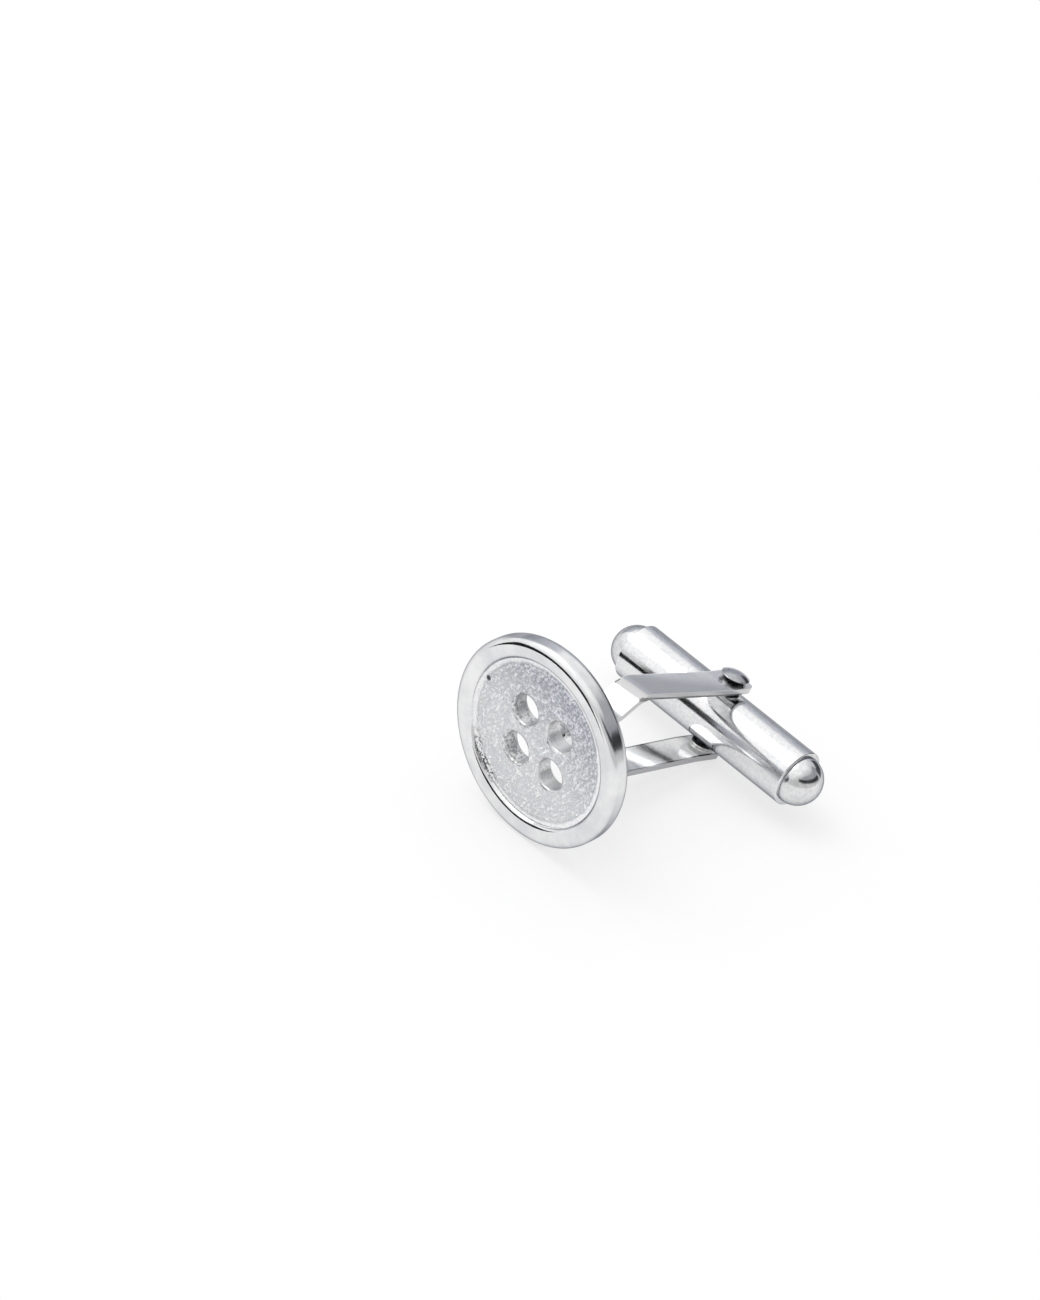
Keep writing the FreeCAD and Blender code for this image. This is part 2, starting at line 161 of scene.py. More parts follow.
post_frame = frame_at(back_centre, along_post, swivel_axis)
pivot_frame = frame_at(pivot, along_post, swivel_axis)
button_frame = frame_at(back_centre - button_axis * BUTTON_THICKNESS, button_axis, button_up)
flange_frame = frame_at(back_centre + button_axis * FLANGE_LIFT, button_axis, button_up)


# Modelling steps
def arc(centre, radius, start, end, steps):
    """Points of an arc in a plane, angles in degrees, both ends included."""
    points = []
    for i in range(steps + 1):
        angle = math.radians(start + (end - start) * i / steps)
        points.append((centre[0] + radius * math.cos(angle), centre[1] + radius * math.sin(angle)))
    return points


def between_points(first, second, share):
    """Point part of the way along a straight run."""
    return (first[0] + (second[0] - first[0]) * share, first[1] + (second[1] - first[1]) * share)


def bend(before, corner, after, radius, steps):
    """Points of a rounded corner between two straight runs."""
    corner = Vector(corner)
    back = (Vector(before) - corner).normalized()
    ahead = (Vector(after) - corner).normalized()
    half = back.angle(ahead) / 2
    middle = (back + ahead).normalized()
    centre = corner + middle * (radius / math.sin(half))
    start = (corner + back * (radius / math.tan(half))) - centre
    end = (corner + ahead * (radius / math.tan(half))) - centre
    sweep = start.angle(end)
    points = []
    for i in range(steps + 1):
        share = i / steps
        points.append(centre + start * (math.sin((1 - share) * sweep) / math.sin(sweep))
                      + end * (math.sin(share * sweep) / math.sin(sweep)))
    return [(point.x, point.y) for point in points]


def start_piece(name):
    """New mesh of one point, left in edit mode."""
    bpy.ops.object.select_all(action="DESELECT")
    bpy.ops.mesh.primitive_plane_add(size=MM)
    piece = bpy.context.object
    piece.name = name
    piece.data.name = name
    bpy.ops.object.mode_set(mode="EDIT")
    bpy.ops.mesh.select_all(action="SELECT")
    bpy.ops.mesh.merge(type="CENTER")
    return piece


def extrude(move):
    """Extrudes what is selected by a move."""
    bpy.ops.mesh.extrude_region_move(TRANSFORM_OT_translate={"value": move})


def draw_line(points):
    """Moves the lone point to the line's start and extrudes it along the line."""
    points = [Vector(point) for point in points]
    bpy.ops.transform.translate(value=points[0])
    for first, second in zip(points, points[1:]):
        extrude(second - first)


def close_shell():
    """Merges doubled points, turns all faces outwards and leaves edit mode."""
    bpy.ops.mesh.select_all(action="SELECT")
    bpy.ops.mesh.remove_doubles(threshold=MERGE_GAP)
    bpy.ops.mesh.normals_make_consistent(inside=False)
    bpy.ops.object.mode_set(mode="OBJECT")


def turned(name, profile, axis, steps):
    """Piece turned on a lathe: a profile drawn point by point and spun about an axis."""
    piece = start_piece(name)
    draw_line(profile)
    bpy.ops.mesh.select_all(action="SELECT")
    bpy.ops.mesh.spin(steps=steps, angle=2 * math.pi, center=(0, 0, 0), axis=axis)
    close_shell()
    return piece


def only(piece):
    """Makes one object the selected and active one."""
    bpy.ops.object.select_all(action="DESELECT")
    piece.select_set(True)
    bpy.context.view_layer.objects.active = piece


def apply_modifier(piece, kind, **settings):
    """Adds a modifier with its settings and applies it."""
    only(piece)
    modifier = piece.modifiers.new(kind.lower(), kind)
    for name, value in settings.items():
        setattr(modifier, name, value)
    bpy.ops.object.modifier_apply(modifier=modifier.name)


def break_edges(piece, width, segments, sharper_than):
    """Rounds all edges that are sharper than an angle in degrees."""
    apply_modifier(piece, "BEVEL", width=width, segments=segments, limit_method="ANGLE",
                   angle_limit=math.radians(sharper_than))


def cut(piece, cutter):
    """Takes a cutter's shape out of a piece and removes the cutter."""
    apply_modifier(piece, "BOOLEAN", operation="DIFFERENCE", solver="EXACT", object=cutter)
    bpy.data.objects.remove(cutter)


def drill(piece, radius, depth, place):
    """Drills a round hole along the third axis, with its middle at a place."""
    bpy.ops.object.select_all(action="DESELECT")
    bpy.ops.mesh.primitive_cylinder_add(vertices=DRILL_STEPS, radius=radius, depth=depth, location=place)
    cut(piece, bpy.context.object)


def set_in_place(piece, place):
    """Moves a piece's mesh from its own axes to its place on the cufflink."""
    only(piece)
    piece.matrix_world = place
    bpy.ops.object.transform_apply(location=True, rotation=True, scale=True)


def hand_over(piece, place, body, node, material, smooth_to=SMOOTH_TO):
    """Last steps for a piece: place, shading, finish, and the node that it stands for."""
    set_in_place(piece, place)
    bpy.ops.object.shade_smooth_by_angle(angle=math.radians(smooth_to))
    piece.data.materials.clear()
    piece.data.materials.append(material)
    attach(piece, body)
    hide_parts(node)


# Node helpers for the finishes
def new_group(name, inputs, outputs):
    """Node group with number or vector sockets; returns the group with its ends."""
    group = bpy.data.node_groups.new(name, "ShaderNodeTree")
    for socket, kind, value in inputs:
        made = group.interface.new_socket(name=socket, in_out="INPUT", socket_type=kind)
        if value is not None:
            made.default_value = value
    for socket, kind in outputs:
        group.interface.new_socket(name=socket, in_out="OUTPUT", socket_type=kind)
    return group, group.nodes.new("NodeGroupInput"), group.nodes.new("NodeGroupOutput")


def add(tree, kind, **settings):
    """New node with its settings."""
    node = tree.nodes.new(kind)
    for name, value in settings.items():
        setattr(node, name, value)
    return node


def feed(tree, socket, value):
    """Links a socket to another one, or sets it to a plain value."""
    if isinstance(value, bpy.types.NodeSocket):
        tree.links.new(value, socket)
    else:
        socket.default_value = value


def place_group(tree, group, **inputs):
    """Outputs of a group node whose inputs are set or linked."""
    node = add(tree, "ShaderNodeGroup", node_tree=group)
    for name, value in inputs.items():
        feed(tree, node.inputs[name.replace("_", " ")], value)
    return node.outputs


def math_node(tree, operation, *values, clamp=False):
    """Math node on links or plain numbers."""
    node = add(tree, "ShaderNodeMath", operation=operation, use_clamp=clamp)
    for socket, value in zip(node.inputs, values):
        feed(tree, socket, value)
    return node.outputs[0]


def product(tree, first, second):
    """Two masks or numbers multiplied."""
    return math_node(tree, "MULTIPLY", first, second)


def difference(tree, first, second):
    """One value less another."""
    return math_node(tree, "SUBTRACT", first, second)


def larger(tree, first, second):
    """The larger of two masks."""
    return math_node(tree, "MAXIMUM", first, second)


def share_on(tree, value, share, start, clamp=False):
    """A share of a value on top of a start."""
    return math_node(tree, "MULTIPLY_ADD", value, share, start, clamp=clamp)


def hypotenuse(tree, first, second):
    """Long side of a right-angled triangle."""
    return math_node(tree, "SQRT", math_node(
        tree, "ADD", product(tree, first, first), product(tree, second, second)))


def between(tree, value, low, high, start=0.0, end=1.0):
    """Smooth step of a value from low to high."""
    node = add(tree, "ShaderNodeMapRange", interpolation_type="SMOOTHSTEP")
    tree.links.new(value, node.inputs["Value"])
    for name, number in (("From Min", low), ("From Max", high), ("To Min", start), ("To Max", end)):
        node.inputs[name].default_value = number
    return node.outputs["Result"]


def band(tree, value, inner, outer):
    """Mask between two borders, each given from where it is empty to where it is full."""
    return product(tree, between(tree, value, *inner), between(tree, value, *outer))


def noise(tree, vector, scale, detail=3.0, roughness=0.55):
    """Noise between 0 and 1 at a scale in cycles per metre."""
    node = add(tree, "ShaderNodeTexNoise")
    tree.links.new(vector, node.inputs["Vector"])
    node.inputs["Scale"].default_value = scale
    node.inputs["Detail"].default_value = detail
    node.inputs["Roughness"].default_value = roughness
    return node.outputs["Fac"]


def stretched(tree, vector, scale):
    """Vector scaled by different amounts along its axes."""
    node = add(tree, "ShaderNodeVectorMath", operation="MULTIPLY")
    tree.links.new(vector, node.inputs[0])
    node.inputs[1].default_value = scale
    return node.outputs[0]


def swung(tree, vector, turn):
    """Vector turned by three angles."""
    node = add(tree, "ShaderNodeMapping")
    tree.links.new(vector, node.inputs["Vector"])
    node.inputs["Rotation"].default_value = turn
    return node.outputs["Vector"]


def measured_along(tree, vector, axis):
    """How far a vector reaches along an axis."""
    node = add(tree, "ShaderNodeVectorMath", operation="DOT_PRODUCT")
    tree.links.new(vector, node.inputs[0])
    node.inputs[1].default_value = axis
    return node.outputs["Value"]


def split(tree, vector):
    """The three parts of a vector."""
    node = add(tree, "ShaderNodeSeparateXYZ")
    tree.links.new(vector, node.inputs[0])
    return node.outputs


def tone(tree, amount, low, high):
    """Colour between two tones."""
    node = add(tree, "ShaderNodeMix", data_type="RGBA")
    tree.links.new(amount, node.inputs["Factor"])
    for name, value in (("A", low), ("B", high)):
        socket = [s for s in node.inputs if s.name == name and s.type == "RGBA"][0]
        feed(tree, socket, value if isinstance(value, bpy.types.NodeSocket) else (*value, 1.0))
    return [s for s in node.outputs if s.type == "RGBA"][0]


def raise_surface(tree, shader, height, distance):
    """Bump on the shader's normal."""
    node = add(tree, "ShaderNodeBump")
    node.inputs["Strength"].default_value = 1.0
    node.inputs["Distance"].default_value = distance
    tree.links.new(height, node.inputs["Height"])
    tree.links.new(node.outputs["Normal"], shader.inputs["Normal"])


def new_finish(name):
    """Material with a metal shader; returns the material, its tree, its shader and its coordinates."""
    material = bpy.data.materials.new(name)
    material.use_nodes = True
    tree = material.node_tree
    shader = tree.nodes["Principled BSDF"]
    shader.inputs["Metallic"].default_value = 1.0
    coordinates = add(tree, "ShaderNodeTexCoord").outputs["Object"]
    return material, tree, shader, coordinates


# Effects that several finishes share
LENGTHWISE_LINES = (0.58, 0.78)
SLANTED_LINES = (0.62, 0.8)
SLANTED_TURN = (0.4, 0.9, 0.7)
BUFFING_CLOUDS = (0.3, 0.72)
WORN_EDGES = (0.99, 0.86)
DEEP_CORNERS = (0.55, 0.05)


def make_buffing_group():
    """Marks of the buffing wheel and of handling: fine lines in two directions, and soft clouds."""
    group, ends_in, ends_out = new_group(
        "buffing_marks", [("Vector", "NodeSocketVector", None)],
        [("Lines", "NodeSocketFloat"), ("Clouds", "NodeSocketFloat")])
    vector = ends_in.outputs["Vector"]
    lengthwise = noise(group, stretched(group, vector, (0.03, 1.0, 1.0)), scale=26000.0, detail=2.0)
    slanting = swung(group, vector, SLANTED_TURN)
    slanted = noise(group, stretched(group, slanting, (1.0, 0.02, 1.0)), scale=21000.0, detail=2.0)
    lines = larger(group, between(group, lengthwise, *LENGTHWISE_LINES),
                   between(group, slanted, *SLANTED_LINES))
    clouds = between(group, noise(group, vector, scale=420.0, detail=4.0), *BUFFING_CLOUDS)
    group.links.new(lines, ends_out.inputs["Lines"])
    group.links.new(clouds, ends_out.inputs["Clouds"])
    return group


def make_wear_and_shade_group():
    """Where hands polish, and corners found by ambient occlusion: edges, and corners made dull and dark with
    tarnish and painted shade.
    """
    group, ends_in, ends_out = new_group(
        "edges_and_corner_shade",
        [("Edge Width", "NodeSocketFloat", 0.1 * MM), ("Corner Reach", "NodeSocketFloat", MM)],
        [("Edges", "NodeSocketFloat"), ("Corner Shade", "NodeSocketFloat")])
    softened = add(group, "ShaderNodeBevel", samples=4)
    group.links.new(ends_in.outputs["Edge Width"], softened.inputs["Radius"])
    surface = add(group, "ShaderNodeNewGeometry")
    facing = add(group, "ShaderNodeVectorMath", operation="DOT_PRODUCT")
    group.links.new(softened.outputs["Normal"], facing.inputs[0])
    group.links.new(surface.outputs["Normal"], facing.inputs[1])
    group.links.new(between(group, facing.outputs["Value"], *WORN_EDGES), ends_out.inputs["Edges"])
    # Ambient occlusion finds the corners, which are darkened with tarnish and painted shade
    reach = add(group, "ShaderNodeAmbientOcclusion", samples=6, only_local=False)
    group.links.new(ends_in.outputs["Corner Reach"], reach.inputs["Distance"])
    group.links.new(between(group, reach.outputs["AO"], *DEEP_CORNERS), ends_out.inputs["Corner Shade"])
    return group


buffing = make_buffing_group()
wear_and_shade = make_wear_and_shade_group()

# Tones of the metals
SILVER = (0.86, 0.86, 0.86)
SILVER_SHADE = (0.71, 0.715, 0.73)
STRIP_SILVER = (0.95, 0.95, 0.94)
STRIP_SHADE = (0.8, 0.8, 0.81)
# Painted shade: grayer fronts of the strips and darker sides of the lower strip
STRIP_FRONT = (0.57, 0.57, 0.58)
STRIP_SIDE = (0.3, 0.305, 0.32)
# Pale tone of the painted highlight round the lower strip's eye
EYE_HIGHLIGHT_SILVER = (0.97, 0.97, 0.97)
# Ball ends: a darker copy of the silver's tones, as painted shade
BALL_SILVER = (0.8, 0.8, 0.8)
BALL_SHADE = (0.62, 0.625, 0.64)
# Rivet: much darker silver tones, painted shade
RIVET_SILVER = (0.5, 0.51, 0.53)
RIVET_SHADE = (0.36, 0.37, 0.39)
LIT_FROST = ((0.75, 0.76, 0.795), (1.0, 1.0, 1.0))
# Shaded copy of the frost's tones: painted shade on part of the floor
SHADED_FROST = ((0.31, 0.325, 0.38), (0.83, 0.845, 0.91))
# Pale tone of the painted highlight on the button's cove
PAINTED_COVE_HIGHLIGHT = (0.97, 0.97, 0.98)
SPRING_TONES = ((0.5, 0.5, 0.51), (0.62, 0.62, 0.63))
WASHER_TONES = ((0.86, 0.86, 0.87), (0.97, 0.97, 0.96))
# Black of the painted shade on the washers' seam
SEAM_SHADE_BLACK = (0.02, 0.02, 0.022)
# Dark colour for tarnish and casting marks, and for painted shade in corners and along the strips
DARK_TARNISH_AND_SHADE = (0.1, 0.1, 0.105)
PLAIN_TINT = (1.0, 1.0, 1.0)
# Dark grazing tint: painted shade that turns edge-on reflections into thin dark outlines
GRAZING_SHADE_TINT = (0.3, 0.31, 0.34)

# Bands on the strips, for painted shade and highlight and for brushed metal, across from the middle, down
# from the outer face and back from the eye
CORNER_LINE = (HALF_ARM - 0.16 * MM, HALF_ARM - 0.1 * MM)
CORNER_LINE_END = (HALF_ARM - 0.012 * MM, HALF_ARM - 0.04 * MM)
UNDER_LINE = (0.25 * MM, 0.31 * MM)
UNDER_LINE_END = (0.62 * MM, 0.5 * MM)
LINE_DARKNESS = 0.7
STRIP_SIDES = (HALF_ARM - 0.03 * MM, HALF_ARM - 0.008 * MM)
STRIP_SIDE_AMOUNT = 0.6
BRUSHED_EDGE = (HALF_ARM - 0.12 * MM, HALF_ARM - 0.02 * MM)
BRUSHED_METAL = -0.6
EYE_HIGHLIGHT_WIDTH = (HALF_ARM - 0.12 * MM, HALF_ARM - 0.2 * MM)
EYE_HIGHLIGHT_LENGTH = (4.2 * MM, 2.6 * MM)
FRONT_SLANT_X = -1.5
FRONT_SLANT_Y = 0.35
FRONT_REACH = (2.9 * MM, 0.8 * MM)
FRONT_AMOUNT = 0.85


def under_line(tree, coordinates, off_middle):
    """Thin line of painted shade low on the sides of the upper strip's long run."""
    start = post_frame @ Vector((0, SHOULDER_PLACE, SHOULDER_REACH))
    run = post_frame.to_3x3() @ Vector((0, EYE_START - SHOULDER_PLACE, ARM_REACH - SHOULDER_REACH))
    outward = across.cross(run).normalized()
    below = difference(tree, start.dot(outward), measured_along(tree, coordinates, outward))
    return product(tree, band(tree, below, UNDER_LINE, UNDER_LINE_END),
                   between(tree, off_middle, *CORNER_LINE))


def strip_tones(tree, coordinates, body, strip):
    """Tone of a strip: painted shade grayer in front and on the lower strip's sides, thin lines of painted
    shade, a painted highlight round the lower strip's eye, and where its metal is brushed.
    """
    parts = split(tree, coordinates)
    off_middle = math_node(tree, "ABSOLUTE", parts["X"])
    slant = share_on(tree, parts["X"], FRONT_SLANT_X, product(tree, parts["Y"], FRONT_SLANT_Y))
    # Painted shade: grayer towards the strip's front, in a slanted band
    body = tone(tree, between(tree, slant, *FRONT_REACH, 0.0, FRONT_AMOUNT), body, STRIP_FRONT)
    if strip == "upper":
        line = under_line(tree, coordinates, off_middle)
    else:
        line = band(tree, off_middle, CORNER_LINE, CORNER_LINE_END)
    # Painted shade: thin dark lines along the strips' corners
    body = tone(tree, product(tree, line, LINE_DARKNESS), body, DARK_TARNISH_AND_SHADE)
    brushed = product(tree, between(tree, off_middle, *BRUSHED_EDGE), difference(tree, 1.0, line))
    if strip == "upper":
        return body, brushed
    # Painted shade on the lower strip's side faces
    sides = between(tree, off_middle, *STRIP_SIDES, 0.0, STRIP_SIDE_AMOUNT)
    body = tone(tree, sides, body, STRIP_SIDE)
    # Painted highlight: a pale patch round the lower strip's eye, where the metal is also made less metallic
    from_eye = difference(tree, pivot.y, parts["Y"])
    eye_highlight = product(tree, between(tree, from_eye, *EYE_HIGHLIGHT_LENGTH),
                     between(tree, off_middle, *EYE_HIGHLIGHT_WIDTH))
    return tone(tree, eye_highlight, body, EYE_HIGHLIGHT_SILVER), larger(tree, brushed, eye_highlight)


def make_polished_silver(name, dullness, line_depth, light=SILVER, shade=SILVER_SHADE,
                         grazing=PLAIN_TINT, corner_reach=0.9 * MM, corner_tarnish_and_shade=0.85, strip=None):
    """Polished silver: bright edges, corners darkened with tarnish and painted shade, faint buffing lines.
    """
    material, tree, shader, coordinates = new_finish(name)
    # Painted shade: a dark grazing tint darkens edge-on reflections into outlines; the plain tint leaves
    # them
    shader.inputs["Specular Tint"].default_value = (*grazing, 1.0)
    marks = place_group(tree, buffing, Vector=coordinates)
    worn_and_shaded = place_group(tree, wear_and_shade, Edge_Width=0.08 * MM, Corner_Reach=corner_reach)
    speckle = between(tree, noise(tree, coordinates, scale=3600.0, detail=3.0, roughness=0.7), 0.35, 0.65)
    mottle = share_on(tree, speckle, 0.6, product(tree, marks["Clouds"], 0.4))
    body = tone(tree, mottle, shade, light)
    if strip:
        body, brushed = strip_tones(tree, coordinates, body, strip)
        tree.links.new(share_on(tree, brushed, BRUSHED_METAL, 1.0), shader.inputs["Metallic"])
    # Painted shade: corners found by ambient occlusion are darkened, together with tarnish
    dark = product(tree, worn_and_shaded["Corner Shade"], corner_tarnish_and_shade)
    tree.links.new(tone(tree, dark, body, DARK_TARNISH_AND_SHADE), shader.inputs["Base Color"])
    rough = share_on(tree, marks["Clouds"], 0.05, dullness)
    rough = share_on(tree, marks["Lines"], 0.07, rough)
    rough = share_on(tree, worn_and_shaded["Corner Shade"], 0.2, rough)
    rough = share_on(tree, worn_and_shaded["Edges"], -0.03, rough, clamp=True)
    tree.links.new(rough, shader.inputs["Roughness"])
    raise_surface(tree, shader, marks["Lines"], line_depth)
    return material


# Borders of the button's finish, each from where it starts to where it ends
BACK_BORDER = (BUTTON_THICKNESS - 0.05 * MM, BUTTON_THICKNESS - 0.3 * MM)
FROST_BORDER = (FROST_RADIUS + 0.32 * MM, FROST_RADIUS + 0.14 * MM)
FROST_SOFT_BORDER = (FROST_RADIUS + 0.62 * MM, FROST_RADIUS + 0.38 * MM)
FROST_WANDER = 0.4 * MM
COVE_BORDER = (FROST_RADIUS + 0.4 * MM, FROST_RADIUS + 0.28 * MM)
COVE_AMOUNT = 0.9
RIM_SIDE_BORDER = (7.2 * MM, 7.4 * MM)
MOUTH_BORDER = (HOLE_RADIUS + 0.3 * MM, HOLE_RADIUS + 0.5 * MM)
HOLE_WALL_BORDER = (HOLE_RADIUS + 0.3 * MM, HOLE_RADIUS)
HOLE_CORNER_BORDER = (HOLE_RADIUS - 0.1 * MM, HOLE_RADIUS + 0.4 * MM)
HOLE_CORNER_DARK = (0.15, 0.6)
GRAIN_CONTRAST = (0.63, 0.87)
# Painted shade across the frosted floor: its borders, how far they wander, and its slant
FROST_SHADE_BORDER = (0.5 * MM, 8.0 * MM)
FROST_SHADE_WANDER = 5.0 * MM
FROST_SHADE_SLANT_X = 0.3
FROST_SHADE_SLANT_Z = 0.8

# Casting faults of the button
PIT_X = -5.31 * MM
PIT_Z = 1.85 * MM
PIT_BORDER = (0.26 * MM, 0.12 * MM)
SPECKS_X = -3.9 * MM
SPECKS_Z = -4.0 * MM
SPECKS_BORDER = (2.5 * MM, 0.8 * MM)
SPECKS_RING = (FROST_RADIUS - 0.3 * MM, FROST_RADIUS + 0.05 * MM)
SPECKS_RING_END = (FROST_RADIUS + 0.5 * MM, FROST_RADIUS + 0.3 * MM)
SPECKS_MOUTH = (HOLE_RADIUS + 0.32 * MM, HOLE_RADIUS + 0.1 * MM)
SPECKS_MOUTH_SIDE = (3.2 * MM, -3.2 * MM)
SPECKS_MOUTH_AMOUNT = 0.5
SPECKS_SPREAD = (0.52, 0.6)

# Relief of the button, and how much of its mirror is lost in the holes, cove and frost
FROST_RELIEF = 0.05 * MM
LINE_RELIEF = 0.0008 * MM
CAST_RELIEF = 0.004 * MM
SPECKS_RELIEF = -0.06 * MM
PIT_RELIEF = -0.12 * MM
HOLE_METAL = -0.4
COVE_METAL = -0.65
FROST_METAL = -0.7


def make_button_silver():
    """Cast silver button: polished rim and hole edges, blasted floor, one pit and a patch of specks; painted
    shade across the frost and in the hole corners, and a painted highlight on the cove.
    """
    material, tree, shader, coordinates = new_finish("button_silver")
    # Painted shade: the dark grazing tint gives the button thin dark outlines
    shader.inputs["Specular Tint"].default_value = (*GRAZING_SHADE_TINT, 1.0)
    turned_to = add(tree, "ShaderNodeMapping", vector_type="TEXTURE")
    tree.links.new(coordinates, turned_to.inputs["Vector"])
    turned_to.inputs["Location"].default_value = button_frame.translation
    turned_to.inputs["Rotation"].default_value = (tip, 0, 0)
    on_button = turned_to.outputs["Vector"]
    x, depth, z = split(tree, on_button)

    radius = hypotenuse(tree, x, z)
    from_hole = hypotenuse(tree, difference(tree, math_node(tree, "ABSOLUTE", x), HOLE_OFFSET),
                           difference(tree, math_node(tree, "ABSOLUTE", z), HOLE_OFFSET))
    from_pit = hypotenuse(tree, difference(tree, x, PIT_X), difference(tree, z, PIT_Z))
    from_specks = hypotenuse(tree, difference(tree, x, SPECKS_X), difference(tree, z, SPECKS_Z))

    grain = noise(tree, on_button, scale=5800.0, detail=3.0, roughness=0.75)
    coarse = noise(tree, on_button, scale=1500.0, detail=4.0, roughness=0.65)
    spots = noise(tree, on_button, scale=4700.0, detail=2.0, roughness=0.6)
    around = add(tree, "ShaderNodeCombineXYZ")
    tree.links.new(radius, around.inputs[0])
    rings = noise(tree, around.outputs[0], scale=3400.0, detail=2.0, roughness=0.6)
    swept = stretched(tree, swung(tree, on_button, (0, 1.1, 0)), (0.22, 1.0, 1.0))
    strokes = noise(tree, swept, scale=4600.0, detail=2.0, roughness=0.6)
    marks = place_group(tree, buffing, Vector=on_button)
    worn_and_shaded = place_group(tree, wear_and_shade, Edge_Width=0.12 * MM, Corner_Reach=0.8 * MM)

    # Where the floor is blasted
    ragged = share_on(tree, coarse, FROST_WANDER, radius)
    in_recess = between(tree, ragged, *FROST_BORDER)
    off_holes = between(tree, share_on(tree, coarse, FROST_WANDER, from_hole), *MOUTH_BORDER)
    off_back = between(tree, depth, *BACK_BORDER)
    blasted = product(tree, product(tree, in_recess, off_back), off_holes)
    cove = product(tree, between(tree, radius, *COVE_BORDER),
                   product(tree, difference(tree, 1.0, in_recess), off_back))
    in_hole = between(tree, from_hole, *HOLE_WALL_BORDER)

    # Where the casting is pitted
    pit = product(tree, between(tree, from_pit, *PIT_BORDER), off_back)
    cast_patch = between(tree, from_specks, *SPECKS_BORDER)
    cast_edge = product(tree, band(tree, radius, SPECKS_RING, SPECKS_RING_END),
                        share_on(tree, cast_patch, 0.95, 0.1))
    hole_edge = product(tree, between(tree, from_hole, *SPECKS_MOUTH),
                        between(tree, x, *SPECKS_MOUTH_SIDE))
    speck_place = larger(tree, cast_edge, product(tree, hole_edge, SPECKS_MOUTH_AMOUNT))
    speck_place = product(tree, speck_place, off_back)
    specks = product(tree, between(tree, spots, *SPECKS_SPREAD), speck_place)

    # Colour
    rim_tone = tone(tree, marks["Clouds"], SILVER_SHADE, SILVER)
    # Painted shade: the frost is darker in one direction across the floor, with a wandering border
    across_floor = share_on(tree, z, FROST_SHADE_SLANT_Z, product(tree, x, FROST_SHADE_SLANT_X))
    frost_shade = share_on(tree, coarse, FROST_SHADE_WANDER, across_floor)
    texture = share_on(tree, strokes, 0.35, product(tree, grain, 0.85))
    texture = share_on(tree, rings, 0.3, texture)
    texture = between(tree, texture, *GRAIN_CONTRAST)
    lit_grain = tone(tree, texture, *LIT_FROST)
    shaded_grain = tone(tree, texture, *SHADED_FROST)
    grain_tone = tone(tree, between(tree, frost_shade, *FROST_SHADE_BORDER), lit_grain, shaded_grain)
    body = tone(tree, blasted, rim_tone, grain_tone)
    # Painted highlight: the cove outside the frost is pale, and its metal is mostly taken away below
    body = tone(tree, product(tree, cove, COVE_AMOUNT), body, PAINTED_COVE_HIGHLIGHT)
    # Painted shade: corners near the holes are darkened, together with tarnish; the pit and specks are real
    # casting marks
    hole_corner_shade = product(tree, worn_and_shaded["Corner Shade"],
                           between(tree, from_hole, *HOLE_CORNER_BORDER, *HOLE_CORNER_DARK))
    dark = larger(tree, hole_corner_shade, larger(tree, specks, pit))
    tree.links.new(tone(tree, dark, body, DARK_TARNISH_AND_SHADE), shader.inputs["Base Color"])

    # Mirror and gloss
    metal = share_on(tree, in_hole, HOLE_METAL, 1.0)
    metal = share_on(tree, cove, COVE_METAL, metal)
    metal = share_on(tree, blasted, FROST_METAL, metal, clamp=True)
    tree.links.new(metal, shader.inputs["Metallic"])
    rough = share_on(tree, marks["Clouds"], 0.04, 0.045)
    rough = share_on(tree, marks["Lines"], 0.05, rough)
    rough = share_on(tree, between(tree, radius, *RIM_SIDE_BORDER), 0.1, rough)
    rough = share_on(tree, in_hole, 0.22, rough)
    softened = between(tree, ragged, *FROST_SOFT_BORDER)
    softened = product(tree, product(tree, softened, off_back), off_holes)
    rough = share_on(tree, softened, 0.25, rough)
    rough = share_on(tree, larger(tree, pit, specks), 0.3, rough, clamp=True)
    tree.links.new(rough, shader.inputs["Roughness"])

    # Relief
    grain_height = share_on(tree, coarse, 0.8, texture)
    height = product(tree, product(tree, grain_height, blasted), FROST_RELIEF)
    height = share_on(tree, marks["Lines"], LINE_RELIEF, height)
    height = share_on(tree, coarse, CAST_RELIEF, height)
    height = share_on(tree, specks, SPECKS_RELIEF, height)
    height = share_on(tree, pit, PIT_RELIEF, height)
    raise_surface(tree, shader, height, 1.0)
    return material


def make_spring_steel():
    """Drawn spring strip: gray, with lines along its length."""
    material, tree, shader, coordinates = new_finish("spring_steel")
    marks = place_group(tree, buffing, Vector=coordinates)
    tree.links.new(tone(tree, marks["Lines"], *SPRING_TONES), shader.inputs["Base Color"])
    tree.links.new(share_on(tree, marks["Clouds"], 0.12, 0.25), shader.inputs["Roughness"])
    raise_surface(tree, shader, marks["Lines"], 0.003 * MM)
    return material


# Painted shade: a black band on the washers along the seam against the toggle
SHADED_SEAM = ARM_REACH - ARM_THICKNESS - WASHER_THICKNESS * 0.45
SHADED_SEAM_BORDER = (SHADED_SEAM + 0.03 * MM, SHADED_SEAM - 0.03 * MM)


def make_washer_steel():
    """Bright washer steel, with a black band of painted shade along the seam against the toggle."""
    material, tree, shader, coordinates = new_finish("washer_steel_with_seam_shade")
    height = difference(tree, measured_along(tree, coordinates, swivel_axis), pivot.dot(swivel_axis))
    seam_shade = between(tree, math_node(tree, "ABSOLUTE", height), *SHADED_SEAM_BORDER)
    marks = place_group(tree, buffing, Vector=coordinates)
    bright = tone(tree, marks["Clouds"], *WASHER_TONES)
    tree.links.new(tone(tree, seam_shade, bright, SEAM_SHADE_BLACK), shader.inputs["Base Color"])
    shader.inputs["Roughness"].default_value = 0.2
    return material


